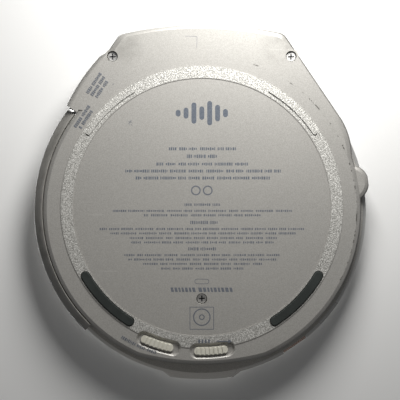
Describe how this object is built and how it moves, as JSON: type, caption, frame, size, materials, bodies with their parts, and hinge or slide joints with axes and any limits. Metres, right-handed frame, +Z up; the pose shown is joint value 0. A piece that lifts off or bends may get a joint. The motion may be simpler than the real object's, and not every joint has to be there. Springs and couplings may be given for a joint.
{
  "type": "portable cd player",
  "caption": "Slim round portable disc player: clamshell lid with keys over a disc tray, hinge block with sockets, and a base with feet and sliding switches.",
  "frame": {"origin": "centre of the bounding box on the plane that the feet stand on", "axes": "+Z up through the lid, +Y towards the hinge, +X towards the side with the line out and power sockets"},
  "size_m": [0.1304, 0.1385, 0.0183],
  "materials": {
    "silver_case": "warm silver paint, matte",
    "silver_lid": "silver paint under clear gloss",
    "silver_key": "satin silver",
    "open_button": "warm metallic gloss",
    "rubber_feet": "matte black",
    "cream_knob": "satin ivory",
    "screw_steel": "plated",
    "plate_steel": "zinc plated",
    "contact_metal": "bright spring metal",
    "grey_plastic": "fine texture",
    "black_plastic": "moulded",
    "circuit_board": "green solder mask",
    "capacitor_can": "bare can",
    "damper_rubber": "soft matte",
    "lens_glass": "coated",
    "battery_sleeve": "shrink sleeve"
  },
  "bodies": {
    "base": {"bottom_cabinet": "silver_case", "side_rail": "silver_case", "rubber_foot_left": "rubber_feet", "rubber_foot_right": "rubber_feet", "case_screws": "screw_steel", "upper_cabinet": "silver_case", "hinge_pins": "screw_steel", "headphone_jack": "black_plastic", "dc_jack": "black_plastic", "line_out_jack": "black_plastic", "main_board": "circuit_board", "board_chips": "black_plastic", "capacitors": "capacitor_can", "slide_switches": "black_plastic", "lid_switch": "black_plastic", "mechanism_chassis": "plate_steel", "chassis_dampers": "damper_rubber", "spindle_motor": "plate_steel", "feed_motor": "plate_steel", "sled_shaft": "screw_steel", "battery_cells": "battery_sleeve", "battery_contacts": "contact_metal", "battery_door": "grey_plastic"},
    "lid": {"lid_shell": "silver_lid", "lid_inner_cover": "grey_plastic", "lid_board": "circuit_board", "key_domes": "contact_metal"},
    "turntable": {"turntable": "black_plastic", "spindle_shaft": "screw_steel", "chuck_balls": "screw_steel"},
    "pickup": {"pickup_sled": "black_plastic"},
    "lens": {"lens_holder": "black_plastic", "objective_lens": "lens_glass"},
    "feed_screw": {"feed_screw": "screw_steel"},
    "hold_slider": {"hold_slider": "cream_knob"},
    "volume_limit_slider": {"volume_limit_slider": "cream_knob"},
    "open_button": {"open_button": "open_button", "latch_slide": "plate_steel"},
    "previous_key": {"previous_key": "silver_key"},
    "stop_key": {"stop_key": "silver_key"},
    "play_key": {"play_key": "silver_key"},
    "next_key": {"next_key": "silver_key"},
    "sound_key": {"sound_key": "silver_key"}
  },
  "joints": [
    {"name": "lid_hinge", "type": "hinge", "parent": "base", "child": "lid", "pos_m": [0, 0.0629, 0.0132], "axis": [-1, 0, 0], "range_deg": [0, 95]},
    {"name": "turntable_spin", "type": "hinge", "parent": "base", "child": "turntable", "pos_m": [0, -0.0017, 0.009], "axis": [0, 0, 1], "continuous": true},
    {"name": "pickup_slide", "type": "slide", "parent": "base", "child": "pickup", "axis": [1, 0, 0], "range_m": [0, 0.0286]},
    {"name": "feed_screw_turn", "type": "hinge", "parent": "base", "child": "feed_screw", "pos_m": [0.012, -0.0182, 0.0058], "axis": [1, 0, 0], "range_deg": [0, 2590]},
    {"name": "lens_focus", "type": "slide", "parent": "pickup", "child": "lens", "axis": [0, 0, 1], "range_m": [-0.0004, 0.0004], "stiffness_N_per_m": 20},
    {"name": "hold_slide", "type": "slide", "parent": "base", "child": "hold_slider", "axis": [-0.9979, 0.0643, 0], "range_m": [0, 0.002]},
    {"name": "volume_limit_slide", "type": "slide", "parent": "base", "child": "volume_limit_slider", "axis": [-0.9504, -0.3109, 0], "range_m": [0, 0.002]},
    {"name": "open_push", "type": "slide", "parent": "base", "child": "open_button", "axis": [0.5592, 0.829, 0], "range_m": [0, 0.0012], "stiffness_N_per_m": 400},
    {"name": "previous_press", "type": "slide", "parent": "lid", "child": "previous_key", "axis": [0, 0, -1], "range_m": [0, 0.00035], "stiffness_N_per_m": 600},
    {"name": "stop_press", "type": "slide", "parent": "lid", "child": "stop_key", "axis": [0, 0, -1], "range_m": [0, 0.00035], "stiffness_N_per_m": 600},
    {"name": "play_press", "type": "slide", "parent": "lid", "child": "play_key", "axis": [0, 0, -1], "range_m": [0, 0.00035], "stiffness_N_per_m": 600},
    {"name": "next_press", "type": "slide", "parent": "lid", "child": "next_key", "axis": [0, 0, -1], "range_m": [0, 0.00035], "stiffness_N_per_m": 600},
    {"name": "sound_press", "type": "slide", "parent": "lid", "child": "sound_key", "axis": [0, 0, -1], "range_m": [0, 0.00035], "stiffness_N_per_m": 600}
  ],
  "couplings": [
    {"joint": "feed_screw_turn", "follows": "pickup_slide", "rad_per_m": 1570.8}
  ]
}
